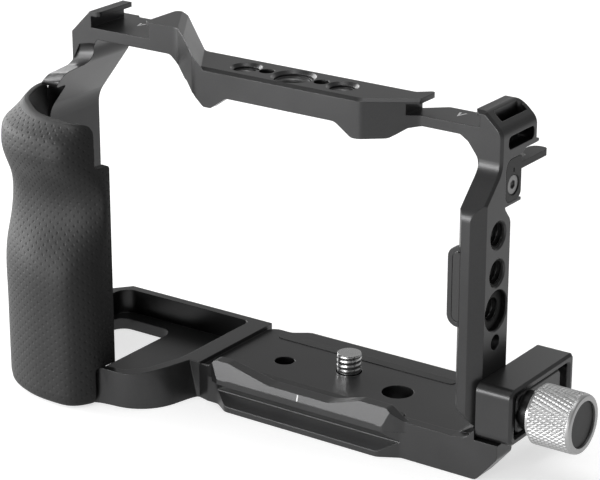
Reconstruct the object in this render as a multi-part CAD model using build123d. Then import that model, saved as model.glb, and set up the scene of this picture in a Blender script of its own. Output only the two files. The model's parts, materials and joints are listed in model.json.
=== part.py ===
from build123d import *
import math
import os

os.makedirs("parts", exist_ok=True)

# Camera cage with a soft hand grip and a cable clamp.
# Millimetres. Z is up, the lens looks along -Y and +X is on the right of a viewer facing the lens.
# The origin is on the bottom face, under the lens axis, in the middle of the quick-release foot.

# ---------------------------------------------------------------- levels and overall planes
height = 92.8            # top of the left accessory shoe
plate_step = 5.95        # the middle plate lies this much lower
plate_top = height - plate_step      # top face of the middle plate, right shoe rails and tower
plate_thickness = 5.25
plate_under = plate_top - plate_thickness
lip_drop = 1.4           # the front lip hangs below the plate
lip_under = plate_under - lip_drop
lug_drop = 3.2           # the two front lugs hang below the lip
lug_under = lip_under - lug_drop
seat_z = 8.4             # camera seat on the base
band_front = -7.0        # front face of both shoes and of the tower
plate_front = -15.0      # front face of the middle plate
plate_rear = -2.7        # rear face of the middle plate
lip_wall = 2.6           # thickness of the front lip, front to back
top_chamfer = 0.8        # bevel along the front top edge

# ---------------------------------------------------------------- accessory shoes
shoe_width = 18.6
left_shoe_x = -71.6      # inner face of the left wall of the left shoe
left_shoe_depth = 4.2
left_shoe_floor = height - left_shoe_depth
shoe_thickness = 2.9     # floor of the left shoe
left_shoe_under = left_shoe_floor - shoe_thickness
left_shoe_rear = 6.2
left_floor_rear = 8.0
right_shoe_x = 23.7      # inner face of the left wall of the right shoe
right_shoe_depth = 3.95
right_shoe_floor = plate_top - right_shoe_depth
right_thickness = 2.5    # floor of the right shoe
right_shoe_under = right_shoe_floor - right_thickness
right_floor_rear = 2.6
shoe_lip = 1.25          # thickness of the lips over the slot
tip_r = 1.3              # rounding of the lip ends
wide_tip_r = 0.75        # rounding of the slanting end of the wide lip
left_wall_rear = 9.2
left_lip_in = 2.6
right_lip_in = 1.4
wide_lip_in = 2.7

# ---------------------------------------------------------------- tower, side bar and left post
side_in = right_shoe_x + shoe_width  # inner face of the right side
side_width = 6.1
side_out = side_in + side_width      # outer face of the right side
tower_rear = 8.7
tower_height = 10.45
tower_floor = plate_top - tower_height
pocket_top = tower_floor - 1.0       # top of the seat of the strap-lug bracket
bar_front = -15.7
bar_rear = -2.2
bar_chamfer = 2.8
tower_chamfer = 0.6
bar_inner_chamfer = 1.0
tab_left = side_in - 2.7
tab_front = -15.1
tab_rear = -13.5
leg_out = left_shoe_x - 6.35
leg_in = left_shoe_x + 0.1
post_out = -84.8
post_in = -82.4
post_front = -11.6
nose_low = left_shoe_under - 11.7    # underside of the nose over the grip
nose_top = nose_low + 4.1
scoop_y = -9.6           # finger scoop in the front of the left shoulder
scoop_z = nose_top + 3.9
scoop_r = 3.2
scoop_lean = 0.21        # the scoop falls towards the left
post_rear = 8.0

# ---------------------------------------------------------------- threaded and plain holes
quarter_r = 2.6          # bore of a 1/4-20 thread
three_eighths_r = 4.0    # bore of a 3/8-16 thread
insert_r = 3.2           # outside of a steel 1/4-20 insert
large_insert_r = 4.75    # outside of the steel 3/8-16 insert
insert_length = 3.6
insert_gap = 0.02
pin_r = 1.9              # locating pin bore
quarter_sink_r = 3.95
three_eighths_sink_r = 5.5
side_sink_r = 3.6
top_row_y = -8.7
top_row_x = -7.95
top_quarter_pitch = 13.95
top_pin_pitch = 7.9
side_row_y = -7.6
side_large_z = 39.7
side_pin_drop = 7.9
side_quarter_pitch = 9.3
reducer_r = 4.9
reducer_length = 3.8
reducer_sink = 1.3

# ---------------------------------------------------------------- base
foot_half = 19.0         # half width of the quick-release foot
base_half = 16.1         # half width of the base beside the foot
groove_depth = 2.85
groove_low = 1.4
groove_high = 6.8
fence_top = 12.8
fence_dip = 10.2
toe_x = side_out + 6.3   # right end of the toe below the clamp
toe_rear = -9.3
toe_top = 10.1
camera_screw_y = 4.0
camera_screw_r = 3.0
screw_neck_r = 2.4        # relieved shank below the thread
screw_thread_z = 8.5
camera_head_r = 7.0
base_thread_x = 17.0
key_left = -24.0         # short arm of the stowed key
key_right = 16.0
key_y = -10.0
key_size = 3.0
key_depth = 3.7
magnet_x = (-9.0, 8.0)
magnet_r = 2.0
magnet_thickness = 1.6
lug_screw_y = -1.4
lug_screw_z = pocket_top - 6.6

# ---------------------------------------------------------------- cable clamp and knob
clamp_y = (-15.8, 13.8)
clamp_gap = 0.05
clamp_height = 14.05
clamp_z = (toe_top + clamp_gap, toe_top + clamp_gap + clamp_height)
clamp_left = side_out + clamp_gap
clamp_width = 9.45
clamp_right = clamp_left + clamp_width
clamp_wall = 2.1
clamp_floor = 1.9        # wall of the loop that lies against the side bar
clamp_close = 2.8        # how far the loop can close on a cable
clamp_open = 1.3         # how far the loop can open
block_y = (-12.3, 8.2)
block_right = clamp_right - 0.4
pad = 0.5
knob_z = clamp_z[0] + 6.95
knob_r = 7.3
knob_bore_r = 2.04
knob_face_r = 7.0
knob_cap_r = 5.65
knob_nose = 1.2
stud_r = 2.0
stud_tip = side_out - 2.8
collar_r = 6.3
boss_r = 4.7
boss_length = 2.6
boss_right = block_right + boss_length
collar_length = 1.2      # with its clearance
knob_back = boss_right + collar_length
knob_length = 11.1
knob_front = knob_back + knob_length

# ---------------------------------------------------------------- hand grip skin
skin = 1.9               # wall of the skin
skin_gap = 0.3           # air between the skin and the metal beside it
grip_right_step_y = -32.3
grip_rear_y = -12.0
grip_rim_z = nose_low - 0.4
grip_right_step_z = grip_rim_z - 11.8

# Outline of the grip seen from above, from its right edge round the front to its left side.
# Each point is x, y, share of the finger groove, inset of the top rim.
grip_outline = [
    (-50.0, -27.3, 0.00, 0.1), (-50.4, -32.0, 0.30, 0.3), (-51.9, -36.6, 0.80, 1.6),
    (-54.8, -39.6, 1.00, 4.0), (-59.5, -40.4, 0.95, 4.6), (-65.5, -40.1, 0.82, 5.2),
    (-71.3, -38.6, 0.68, 5.9), (-76.8, -35.9, 0.52, 6.7), (-80.9, -31.9, 0.42, 6.4),
    (-83.4, -26.7, 0.28, 5.0), (-84.4, -20.0, 0.10, 2.4), (-84.6, -15.5, 0.02, 0.8),
    (-84.6, grip_rear_y, 0.00, 0.3),
]
# Height, depth of the finger groove, inset at the bottom, share of the rim inset.
drawn_rim_z = 73.6       # rim height at which the levels are drawn
drawn_levels = [
    (0.3, 0.0, 0.9, 0.0), (1.2, 0.0, 0.3, 0.0), (3.0, 0.0, 0.0, 0.0), (14.0, 0.0, 0.0, 0.0),
    (26.0, 0.0, 0.0, 0.0), (33.0, 0.0, 0.0, 0.0), (38.6, 1.6, 0.0, 0.0), (43.8, 5.0, 0.0, 0.0),
    (50.0, 7.3, 0.0, 0.0), (55.4, 6.4, 0.0, 0.0), (60.0, 2.6, 0.0, 0.0), (64.5, -0.2, 0.0, 0.02),
    (67.6, -0.2, 0.0, 0.08), (69.6, 0.0, 0.0, 0.22), (71.2, 0.0, 0.0, 0.48), (72.8, 0.0, 0.0, 0.8),
    (74.6, 0.0, 0.0, 1.15),
]
grip_levels = [(z * grip_rim_z / drawn_rim_z, depth, inset, rim) for z, depth, inset, rim in drawn_levels]


# ---------------------------------------------------------------- helpers
def block(x0, x1, y0, y1, z0, z1):
    return Pos((x0 + x1) / 2, (y0 + y1) / 2, (z0 + z1) / 2) * Box(x1 - x0, y1 - y0, z1 - z0)


def rounded_loop(corners, place):
    """Closed wire of straight runs; a corner is (a, b) or (a, b, radius)."""
    n = len(corners)
    edges = []
    starts = []
    for i in range(n):
        a0, b0 = corners[i - 1][:2]
        a1, b1 = corners[i][:2]
        a2, b2 = corners[(i + 1) % n][:2]
        r = corners[i][2] if len(corners[i]) > 2 else 0.0
        u = Vector(a0 - a1, b0 - b1).normalized()
        v = Vector(a2 - a1, b2 - b1).normalized()
        p = Vector(a1, b1)
        if r == 0.0:
            starts.append((p, p, None))
            continue
        half = math.radians(u.get_angle(v)) / 2
        run = r / math.tan(half)
        middle = p + (u + v).normalized() * (r / math.sin(half) - r)
        starts.append((p + u * run, p + v * run, middle))
    for i in range(n):
        enter, leave, middle = starts[i]
        if middle is not None:
            edges.append(ThreePointArc(place(enter), place(middle), place(leave)))
        following = starts[(i + 1) % n][0]
        if (following - leave).length > 1e-6:
            edges.append(Line(place(leave), place(following)))
    return Wire(edges)


def plan(corners, z0, z1):
    """Upright prism from an outline seen from above."""
    loop = rounded_loop(corners, lambda p: (p.X, p.Y, z0))
    return extrude(make_face(loop), amount=z1 - z0, dir=(0, 0, 1))


def front_view(corners, y0, y1):
    """Prism along Y from an outline in X and Z."""
    loop = rounded_loop(corners, lambda p: (p.X, y0, p.Y))
    return extrude(make_face(loop), amount=y1 - y0, dir=(0, 1, 0))


def side_view(corners, x0, x1):
    """Prism along X from an outline in Y and Z."""
    loop = rounded_loop(corners, lambda p: (x0, p.X, p.Y))
    return extrude(make_face(loop), amount=x1 - x0, dir=(1, 0, 0))


def rod_x(y, z, r, x0, x1):
    return Pos((x0 + x1) / 2, y, z) * Rot(0, 90, 0) * Cylinder(r, x1 - x0)


def rod_y(x, z, r, y0, y1):
    return Pos(x, (y0 + y1) / 2, z) * Rot(90, 0, 0) * Cylinder(r, y1 - y0)


def rod_z(x, y, r, z0, z1):
    return Pos(x, y, (z0 + z1) / 2) * Cylinder(r, z1 - z0)


def sink_down(x, y, z, r_top, r_low):
    """Countersink opening upwards at height z."""
    deep = r_top - r_low
    return Pos(x, y, z - deep / 2) * Cone(r_low, r_top, deep)


def sink_right(y, z, x, r_open, r_low):
    """Countersink opening towards +X at x."""
    deep = r_open - r_low
    return Pos(x - deep / 2, y, z) * Rot(0, 90, 0) * Cone(r_low, r_open, deep)


def skewed(corners):
    """Prism along the slanting fold lines of the left arm, from an outline in X and Z at the shoe front."""
    fold = Vector(-0.556, 0.831, 0)
    back = Vector(0, band_front, 0) - fold * 40
    loop = rounded_loop(corners, lambda p: (p.X + back.X, back.Y, p.Y))
    return extrude(make_face(loop), amount=80, dir=(fold.X, fold.Y, 0))


def one(shape, name):
    solids = shape.solids()
    assert len(solids) == 1, (name, len(solids))
    solid = solids[0]
    assert solid.is_valid, name
    return solid


pieces = {}


# ---------------------------------------------------------------- cage frame: top band
def band_outline():
    return [
        (leg_out, band_front), (-44.3, band_front, 5.0), (-33.4, plate_front, 3.0),
        (14.7, plate_front, 3.0), (26.6, band_front, 3.0), (side_out, band_front),
        (side_out, tower_rear, 0.8), (side_in - 1.3, tower_rear, 1.0), (side_in - 2.3, right_floor_rear, 1.0),
        (28.6, right_floor_rear, 1.5), (22.5, plate_rear, 2.0), (-38.4, plate_rear, 3.0),
        (left_shoe_x + 20.6, left_shoe_rear, 2.0), (left_shoe_x + 17.2, left_shoe_rear),
        (left_shoe_x + 17.2, left_floor_rear),
        (leg_out, left_floor_rear),
    ]


above = height + 6.0     # well above and below the top band, for cuts
below = lug_under - 7.0
band = plan(band_outline(), below, height)
band -= skewed([(-43.9, height), (-41.9, height - 0.75), (-36.2, plate_top), (75.0, plate_top),
                (75.0, above), (-43.9, above)])
band -= skewed([(-110.0, below - 10), (-110.0, left_shoe_under), (-46.6, left_shoe_under, 2.0),
                (-41.5, plate_under, 1.5), (75.0, plate_under), (75.0, below - 10)])
front_edges = []
for edge in band.edges():
    middle = edge.center()
    if abs(middle.Z - plate_top) < 0.01 and middle.Y < -7.2 and -33.5 < middle.X < 26.0:
        front_edges.append(edge)
band = chamfer(front_edges, top_chamfer)
# Front lip with its two lugs, then the thicker right end.
lip_back = [(-44.3, band_front + 3.2), (-32.6, plate_front + lip_wall), (15.6, plate_front + lip_wall),
            (27.4, band_front + 2.6), (side_in, band_front + 2.6)]
lip_zone = plan([(-44.3, band_front), (-33.4, plate_front, 3.0), (14.7, plate_front, 3.0),
                 (26.6, band_front, 3.0), (side_in + 1, band_front), (side_in + 1, band_front + 2.6)]
                + lip_back[::-1][1:], lug_under - 1, plate_top - 1)
lip_shape = front_view([(-41.0, plate_top - 1.85), (-38.5, plate_under + 0.4), (-33.4, lip_under - 0.5),
                        (-30.4, lug_under, 1.2),
                        (-28.2, lug_under, 1.0), (-23.6, lip_under, 1.5), (7.9, lip_under, 3.0),
                        (12.6, lug_under, 2.0), (20.4, lug_under + 0.3, 2.5), (24.0, lip_under - 0.4, 1.5),
                        (27.0, right_shoe_under, 2.0), (side_in + 1, right_shoe_under),
                        (side_in + 1, plate_top - 1.85)], -20, 10)
band += lip_zone & lip_shape
band += plan([(15.0, plate_front + 2.0), (26.6, band_front + 1.0), (side_in + 1, band_front + 1.0),
              (side_in + 1, right_floor_rear), (28.6, right_floor_rear, 1.5), (22.5, plate_rear, 2.0),
              (15.0, plate_rear)], right_shoe_under, plate_under + 0.5)


def lip_gap(left_edge, x1, front, rear_right, z):
    """Gap between two shoe lips, with the ends of the lips rounded off."""
    return plan(left_edge + [(x1 + 2, 12), (x1 + 2, rear_right), (x1, rear_right, tip_r), (x1, front, tip_r),
                             (x1 + 2, front), (x1 + 2, front - 2)], z, above)


# Left shoe: wall, slot, lips and the leg below it.
shoe_right = left_shoe_x + shoe_width
lip_edge = left_shoe_x + left_lip_in
band += block(leg_out, lip_edge, left_floor_rear - 1, left_wall_rear, left_shoe_under, height)
band -= lip_gap([(lip_edge - 2, band_front - 2), (lip_edge - 2, band_front), (lip_edge, band_front, tip_r),
                 (lip_edge, left_wall_rear, tip_r), (lip_edge - 2, left_wall_rear), (lip_edge - 2, 12)],
                shoe_right - right_lip_in, band_front, left_shoe_rear, left_shoe_floor)
band -= block(left_shoe_x, shoe_right, -9, 12, left_shoe_floor, height - shoe_lip)
band -= block(leg_out - 1, -54.6, left_shoe_rear, 12, left_shoe_floor, above)
band -= front_view([(leg_out - 1, height + 1), (left_shoe_x - 0.3, height + 1), (left_shoe_x - 0.3, height),
                    (leg_out, left_shoe_floor - 1.8), (leg_out - 1, left_shoe_floor - 1.8)], -9, 12)
# Right shoe.
slot_right = right_shoe_x + shoe_width
lip_edge = right_shoe_x + wide_lip_in
tip_y = plate_rear + (lip_edge - 22.5) / (28.6 - 22.5) * (right_floor_rear - plate_rear)
band -= lip_gap([(lip_edge, plate_front), (lip_edge, tip_y, wide_tip_r), (22.5, plate_rear), (22.5, 12)],
                slot_right - right_lip_in, band_front, tower_rear, right_shoe_floor)
band -= block(right_shoe_x, slot_right, -9.6, 12, right_shoe_floor, plate_top - shoe_lip)


# ---------------------------------------------------------------- cage frame: right side
side_shape = side_view([(band_front, plate_top - 4), (band_front, tower_floor - 3.0, 5.0),
                        (bar_front, tower_floor - 11.8, 4.0),
                        (bar_front, 15.5, 3.0), (-12.4, 8.0), (-12.4, 4.0), (bar_rear, 4.0),
                        (bar_rear, tower_floor - 15.8, 3.0), (-4.9, tower_floor - 12.6, 2.0),
                        (-4.9, pocket_top), (2.4, pocket_top, 0.5),
                        (4.0, tower_floor, 1.0), (tower_rear + 1.2, tower_floor, 0.39),
                        (tower_rear + 1.2, tower_floor + 0.8, 0.39), (tower_rear, tower_floor + 0.9),
                        (tower_rear, plate_top - 4)], side_in, side_out)
front_run = []
for edge in side_shape.edges():
    middle = edge.center()
    if abs(middle.X - side_out) < 0.01 and middle.Y < band_front + 0.1 and 12.0 < middle.Z < plate_top - 4.1:
        front_run.append(edge)
side_shape = chamfer(front_run, tower_chamfer)
side_front = front_view([(side_in, plate_top), (side_in, 17.5), (side_out - 1.2, 12.6), (side_in - 2, 8.0),
                         (side_in - 2, 0.0), (side_out, 0.0), (side_out, plate_top)], -20, 14)
side = side_shape & side_front
side -= plan([(side_out + 1, bar_front - 1), (side_out - bar_chamfer - 1, bar_front - 1),
              (side_out - bar_chamfer, bar_front), (side_out, bar_front + bar_chamfer),
              (side_out + 1, bar_front + bar_chamfer)], 0.0, right_shoe_under)
side -= plan([(side_in - 1, bar_front - 1), (side_in + bar_inner_chamfer + 1, bar_front - 1),
              (side_in + bar_inner_chamfer, bar_front), (side_in, bar_front + bar_inner_chamfer),
              (side_in - 1, bar_front + bar_inner_chamfer)], 10.0, right_shoe_under)
corner_low = right_shoe_under - 10.4
inner_corner = front_view([(side_in - 7.3, corner_low), (side_in - 7.3, right_shoe_under),
                           (side_in - 5.1, right_shoe_under, 1.5),
                           (side_in - 2.9, right_shoe_under - 1.4, 1.5),
                           (side_in - 0.3, right_shoe_under - 4.8, 2.5), (side_in, right_shoe_under - 8.4),
                           (side_in, corner_low)], band_front - 3, 14)
tower_fill = block(side_in - 6.3, side_in + 0.5, band_front, right_floor_rear,
                   corner_low, right_shoe_under + 1)
frame = band + side + (tower_fill - inner_corner)
# Slanting shoulder of the tower, rounded into its right face and over its rear edge.
shoulder_x = side_out - 4.9
shoulder_z = plate_top - 4.45
shoulder_r = 3.5
rear_r = 2.4
frame -= front_view([(shoulder_x - 0.1, plate_top + 2), (side_out + 2, plate_top + 2),
                     (side_out + 2, shoulder_z - 4.4), (side_out, shoulder_z - 4.4),
                     (side_out, shoulder_z, shoulder_r), (shoulder_x, plate_top, 1.6),
                     (shoulder_x - 0.1, plate_top)], -9, 12)
frame -= side_view([(tower_rear - 5, plate_top + 1), (tower_rear - 5, plate_top),
                    (tower_rear, plate_top, rear_r), (tower_rear, plate_top - 5),
                    (tower_rear + 1, plate_top - 5), (tower_rear + 1, plate_top + 1)],
                   slot_right - 3, side_out + 1)


def shoulder_section(inset):
    """Front view of the tower's right edge, moved inwards by inset."""
    slope = math.atan2(plate_top - shoulder_z, side_out - shoulder_x)
    drop = inset * (1 - math.sin(slope)) / math.cos(slope)
    back = inset / math.sin(slope)
    y = band_front + tower_chamfer - inset
    low = shoulder_z - 1.6
    corners = [(side_in - 12, low), (side_out - inset, low),
               (side_out - inset, shoulder_z - drop, shoulder_r - inset),
               (shoulder_x - back, plate_top), (side_in - 12, plate_top)]
    return make_face(rounded_loop(corners, lambda p: (p.X, y, p.Y)))


shoulder = loft([shoulder_section(tower_chamfer), shoulder_section(0.0)], ruled=True)
edge_zone = block(slot_right - 1.0, side_out + 1, band_front - 1, band_front + tower_chamfer,
                  shoulder_z - 1.5, plate_top)
frame -= edge_zone - shoulder

# Strap loop in the tower: a channel bent round a corner rod.
slot_y = (-4.2, 7.6)
slot_z = (tower_floor + 1.3, tower_floor + 4.5)
slot_x = (side_in + 1.7, side_out - 1.7)
rod_left = slot_x[0] + 1.4
strap_hole = front_view([(slot_x[0], above), (slot_x[1], above), (slot_x[1], plate_top - 2.15, 1.2),
                         (rod_left, plate_top - 3.95, 1.0), (rod_left, slot_z[0] + 1),
                         (slot_x[0], slot_z[0] + 1)], *slot_y)
strap_hole &= plan([(slot_x[0], slot_y[0], 1.0), (slot_x[1], slot_y[0], 1.0), (slot_x[1], slot_y[1], 1.0),
                    (slot_x[0], slot_y[1], 1.0)], below, above)
side_slot = front_view([(slot_x[0], slot_z[0], 1.2), (side_out + 2, slot_z[0]), (side_out + 2, slot_z[1]),
                        (slot_x[0], slot_z[1])], *slot_y)
side_slot &= side_view([(slot_y[0], slot_z[0], 1.3), (slot_y[1], slot_z[0], 1.3), (slot_y[1], slot_z[1], 1.3),
                        (slot_y[0], slot_z[1], 1.3)], side_in - 2, side_out + 4)
frame -= strap_hole + side_slot

# Seat for the strap-lug bracket behind the tower.
bracket_low = pocket_top - 10.4
bracket_gap = 0.1
bracket_left = side_out - 1.75
frame += block(side_in, side_out, -5.5, 2.2, bracket_low - 0.8, pocket_top + 0.5)
frame -= side_view([(-4.9, bracket_low - bracket_gap, 1.9), (4.0, bracket_low - bracket_gap),
                    (4.0, pocket_top), (-4.9, pocket_top, 2.5)], bracket_left - 0.05, side_out + 1)

# Retaining tab in front of the camera body, with a window for its pad.
def tab_plate(inset, y0, y1):
    left = tab_left + inset
    right = side_in + 2.3 - inset
    return front_view([(left, 36.8 + inset, 2.8 - inset), (right, 36.8 + inset, 0.5),
                       (right, 56.5 - inset, 0.5), (left, 56.5 - inset, 2.8 - inset)], y0, y1)


frame += tab_plate(0.0, tab_front, tab_rear)
tab_zone = block(tab_left - 5, side_in + 2, tab_front - 0.2, tab_rear + 1, 30, 60)
frame -= tab_plate(1.2, tab_front - 1, tab_rear + 1) & tab_zone


# ---------------------------------------------------------------- cage frame: base
def base_outline():
    front = [(-32.6, -15.3), (-29.4, -base_half, 2.0), (-26.2, -base_half, 3.0), (-22.0, -foot_half, 3.0),
             (23.2, -foot_half, 3.0), (28.4, -base_half, 3.0), (toe_x, -base_half), (toe_x, toe_rear, 1.5),
             (side_out, toe_rear)]
    rear = [(side_out, -1.2, 2.0), (side_in + 2.3, 5.5, 3.0), (side_in + 0.1, 11.5, 3.0),
            (side_in - 5.3, base_half, 3.0),
            (28.4, base_half, 3.0), (23.2, foot_half, 3.0), (-22.0, foot_half, 3.0),
            (-26.2, base_half, 3.0), (-32.6, base_half, 3.0)]
    return front + rear


base = plan(base_outline(), 0.0, seat_z)
base += plan([(28.0, -base_half, 1.0), (side_out, -base_half), (side_out, -12.4), (side_in + 1.7, -12.4),
              (side_in - 2.3, -13.4), (28.0, -13.4)], seat_z - 1, 9.6)
base += front_view([(side_in, 4.0), (side_out, 4.0), (side_out, 12.6), (side_out - 2.4, 10.0, 3.0),
                    (side_in, 9.6)], -base_half, bar_rear)
base += block(side_out - 1, toe_x, -base_half, toe_rear, 0.0, toe_top)
# Bevelled lower right corner of the toe.
base -= front_view([(toe_x - 8.0, -2.0), (toe_x + 2, -2.0), (toe_x + 2, 9.0), (toe_x, 9.0),
                    (toe_x, 6.6, 2.0), (toe_x - 5.6, 0.0, 2.0), (toe_x - 8.0, 0.0)], -25, 0)
# Fence below the lens: a leaning wall with a dip for the lens barrel, running down into the bar at its ends.
fence = side_view([(-foot_half, groove_high + 0.1), (-foot_half, 8.15), (-17.9, fence_top),
                   (-15.2, fence_top), (-14.6, seat_z - 1.0), (-14.6, groove_high + 0.1)], -32.6, 36.0)
fence &= front_view([(-32.6, 0.0), (-32.6, 9.2), (-29.2, 9.4, 3.0), (-25.6, fence_top, 1.5),
                     (-21.5, fence_top, 3.0), (-9.0, fence_dip, 8.0), (9.0, fence_dip, 8.0),
                     (17.6, fence_top, 3.0), (25.2, fence_top, 1.5), (29.5, 9.6, 3.0), (36.0, 9.6),
                     (36.0, 0.0)], -30, 0)
fence &= plan([(-32.6, -14.0), (-32.6, -15.3), (-29.4, -base_half, 1.0), (-27.6, -16.4, 1.0),
               (-26.6, -18.0, 1.0), (-24.4, -foot_half, 2.0),
               (24.6, -foot_half, 2.0), (27.2, -17.6, 1.5), (29.4, -base_half, 2.0), (36.0, -base_half),
               (36.0, -14.0)], 0, 20)
# Quick-release grooves along the front and the rear of the foot.
for face in (-1, 1):
    beyond = face * (foot_half + 1)
    base -= side_view([(beyond, groove_low - 0.95), (beyond, groove_high + 0.95),
                       (face * foot_half, groove_high), (face * (foot_half - groove_depth), 4.1, 0.3),
                       (face * foot_half, groove_low)], -60, 60)
base += fence
frame += base


# ---------------------------------------------------------------- hand grip sections
def grip_points(depth, inset, rim):
    """Points of the grip outline with the finger groove, moved inwards by inset and by a share of the rim."""
    raw = []
    for x, y, groove, top in grip_outline:
        raw.append(Vector(x + 0.12 * groove * depth, y + groove * depth))
    moved = []
    for i, p in enumerate(raw):
        before = raw[max(i - 1, 0)]
        after = raw[min(i + 1, len(raw) - 1)]
        along = (after - before).normalized()
        inward = Vector(along.Y, -along.X)
        moved.append(p + inward * (inset + rim * grip_outline[i][3]))
    return moved


def grip_section(z, depth, inset, rim):
    outer = grip_points(depth, inset, rim)
    inner = grip_points(depth, skin, rim)
    outer = [(p.X, p.Y, z) for p in outer]
    inner = [(p.X, p.Y, z) for p in inner]
    return Wire([Spline(*outer), Line(outer[-1], inner[-1]), Spline(*inner[::-1]), Line(inner[0], outer[0])])


# ---------------------------------------------------------------- cage frame: grip tray and left post
lug_low = [(-33.2, -15.6), (-33.9, -17.3), (-35.3, -23.0), (-37.0, -26.6), (-40.4, -29.9),
           (-45.0, -31.7), (-49.0, -32.2), (-52.5, -33.3)]
lug_high = [(-35.4, -15.5), (-35.9, -17.3), (-37.4, -23.0), (-38.8, -26.9), (-41.4, -31.0),
            (-45.0, -32.2), (-49.0, -32.3), (-52.5, -33.3)]


def tray_face(lug, z):
    edge = [(p.X, p.Y, z) for p in grip_points(0.0, skin + skin_gap, 0.0)]
    lug_curve = Spline(*[(x, y, z) for x, y in lug])
    front_curve = Spline(*edge[2:])
    corners = [front_curve @ 1, (post_out, post_front, z), (post_out, 9.0, z), (-79.0, base_half, z),
               (-32.5, base_half, z), (-32.5, -15.3, z), lug_curve @ 0]
    return make_face(Wire([lug_curve, Line(lug_curve @ 1, front_curve @ 0), front_curve,
                           *Polyline(*corners).edges()]))


tray_top = 9.6
tray_floor = 3.0
tray = loft([tray_face(lug_low, 0.0), tray_face(lug_high, tray_top)], ruled=True)
tray -= plan([(-78.5, -29.5, 6.0), (-60.0, -29.5, 4.0), (-60.0, 9.5, 4.0), (-78.5, 9.5, 4.0)], -1, 12)
tray -= plan([(-80.2, -26.5, 6.0), (-74.0, -34.2, 6.0), (-57.0, -36.0, 4.0), (-53.0, -31.2, 2.0),
              (-45.2, -30.0, 3.0), (-41.0, -26.0, 4.0), (-38.0, -15.5, 3.0), (-38.0, 13.8, 2.0),
              (-80.2, 13.8, 4.0)], tray_floor, 12)
frame += tray

# Its front edge runs on over the grip as a short nose, with a finger scoop above it.
nose_front = -16.0
post_side = side_view([(post_front, 0.0), (post_front, nose_low, 1.0), (nose_front, nose_low, 1.2),
                       (nose_front, nose_top - 1.0, 2.0), (band_front, nose_top, 0.8),
                       (band_front, left_shoe_under + 1), (post_rear, left_shoe_under + 1),
                       (post_rear, 0.0)], -90, -69)
post_shape = front_view([(post_out, 0.0), (post_out, left_shoe_under - 16.2, 7.0),
                         (leg_out, left_shoe_under - 6.8, 4.0), (leg_out, left_shoe_under + 1),
                         (leg_in + 1.9, left_shoe_under + 1), (leg_in + 1.9, left_shoe_under),
                         (leg_in, left_shoe_under - 2.3, 2.0), (leg_in, left_shoe_under - 5.2, 4.0),
                         (post_in, left_shoe_under - 19.7, 8.0), (post_in, 0.0)], -20, 12)
frame += post_side & post_shape
scoop_zone = front_view([(leg_in - 3.7, scoop_z + 2.5), (leg_in + 3.5, scoop_z + 2.5),
                         (leg_in + 3.5, scoop_z - 8.0), (leg_in - 9.1, scoop_z - 8.0)], -20, -5)
lean = math.degrees(math.atan(scoop_lean))
scoop = Pos(leg_in - 3.5, scoop_y, scoop_z) * Rot(0, 90 - lean, 0) * Cylinder(scoop_r, 24) & scoop_zone
fill_low = nose_top - 2.9
nose_fill = rounded_loop([(band_front + 0.5, fill_low), (nose_front, fill_low),
                          (nose_front, nose_top - 0.95, 2.0), (scoop_y, nose_top - 0.15),
                          (scoop_y, scoop_z), (band_front + 0.5, scoop_z)],
                         lambda p: (leg_out - 8.05, p.X, p.Y - 7.1 * scoop_lean))
nose_fill = extrude(make_face(nose_fill), amount=18, dir=(1, 0, scoop_lean))
nose_fill &= post_shape & scoop_zone
frame += nose_fill - scoop
frame -= scoop
# Strap slot in the left post.
frame -= side_view([(-2.6, 30.0, 1.7), (1.4, 30.0, 1.7), (1.4, 48.0, 1.7), (-2.6, 48.0, 1.7)], -90, -80)

# ---------------------------------------------------------------- cage frame: holes
quarter_top = [top_row_x - top_quarter_pitch, top_row_x + top_quarter_pitch]
pin_top = [top_row_x - top_pin_pitch, top_row_x + top_pin_pitch]
insert_top = plate_top - 1.2
for x in quarter_top:
    frame -= rod_z(x, top_row_y, quarter_r, below, above)
    frame -= rod_z(x, top_row_y, insert_r + insert_gap, insert_top - insert_length, above)
    frame -= sink_down(x, top_row_y, plate_top, quarter_sink_r, insert_r)
for x in pin_top:
    frame -= rod_z(x, top_row_y, pin_r, below, above)
frame -= rod_z(top_row_x, top_row_y, three_eighths_r, below, above)
frame -= rod_z(top_row_x, top_row_y, large_insert_r + insert_gap, insert_top - insert_length, above)
frame -= sink_down(top_row_x, top_row_y, plate_top, three_eighths_sink_r, large_insert_r)
bore_left = side_in - 4.3
bore_right = side_out + 3.6
quarter_side = [side_large_z + side_quarter_pitch, side_large_z + 2 * side_quarter_pitch]
for z in quarter_side:
    frame -= rod_x(side_row_y, z, quarter_r, bore_left, bore_right)
    frame -= rod_x(side_row_y, z, insert_r + insert_gap, side_out - 0.4 - insert_length, bore_right)
    frame -= sink_right(side_row_y, z, side_out, side_sink_r, insert_r)
frame -= rod_x(side_row_y, side_large_z - side_pin_drop, pin_r, bore_left, bore_right)
frame -= rod_x(side_row_y, side_large_z, 3.4, bore_left, bore_right)
frame -= rod_x(side_row_y, side_large_z, reducer_r + insert_gap,
               side_out - reducer_length - reducer_sink, bore_right)
frame -= sink_right(side_row_y, side_large_z, side_out, 5.2, reducer_r)
frame -= rod_x(side_row_y, knob_z, stud_r + insert_gap, bore_left, bore_right)
frame -= rod_x(lug_screw_y, lug_screw_z, 1.5 + insert_gap, bore_left, bore_right)
frame -= rod_z(0, camera_screw_y, camera_screw_r + 0.3, -1, 20)
frame -= rod_z(0, camera_screw_y, camera_head_r + 0.08, -1, 4.7)
frame -= rod_z(0, camera_screw_y, 8.0, 0.5, 1.2)
frame -= rod_z(-base_thread_x, 0, quarter_r, -1, 20)
frame -= rod_z(base_thread_x, 0, three_eighths_r, -1, 20)

# Pockets for the seat pads, the stowed key and its magnets, and the white marks.
pad_rows = [(-12.6, -9.6), (11.2, 14.2)]


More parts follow.
